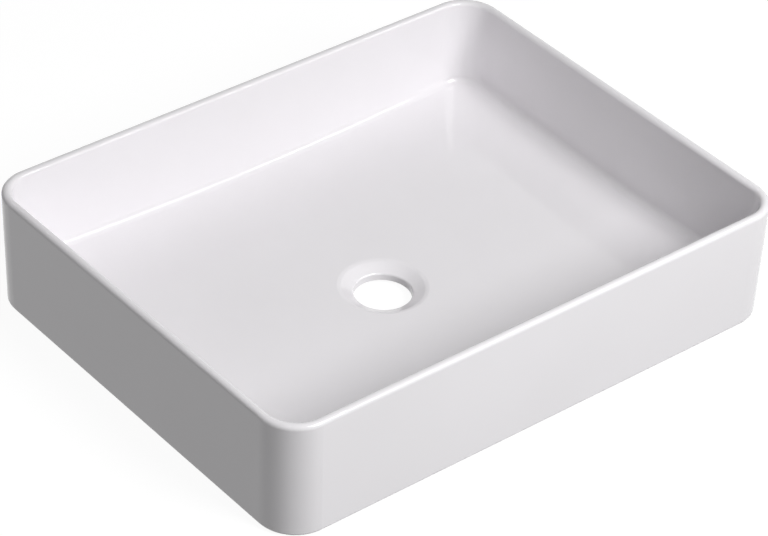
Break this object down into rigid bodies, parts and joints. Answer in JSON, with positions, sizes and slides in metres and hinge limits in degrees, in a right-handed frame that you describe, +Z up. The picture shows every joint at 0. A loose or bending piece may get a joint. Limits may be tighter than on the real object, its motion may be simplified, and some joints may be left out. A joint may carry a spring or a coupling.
{
  "type": "countertop basin",
  "caption": "Rectangular countertop basin in white glazed ceramic, with thin upright walls, round corners, a dished floor and a central round drain hole, on clear bumper pads.",
  "frame": {"origin": "on the worktop, under the centre of the drain hole", "axes": "+X along the long side to the right, +Y across the basin towards the wall behind it, +Z up"},
  "size_m": [0.4798, 0.375, 0.1025],
  "materials": {
    "white_glazed_ceramic": "glossy white glaze, bare fired clay under the foot",
    "clear_silicone": "clear, slightly milky silicone"
  },
  "bodies": {
    "root": {"basin_body": "white_glazed_ceramic", "foot_pad_front_left": "clear_silicone", "foot_pad_front_right": "clear_silicone", "foot_pad_back_left": "clear_silicone", "foot_pad_back_right": "clear_silicone"}
  },
  "joints": []
}
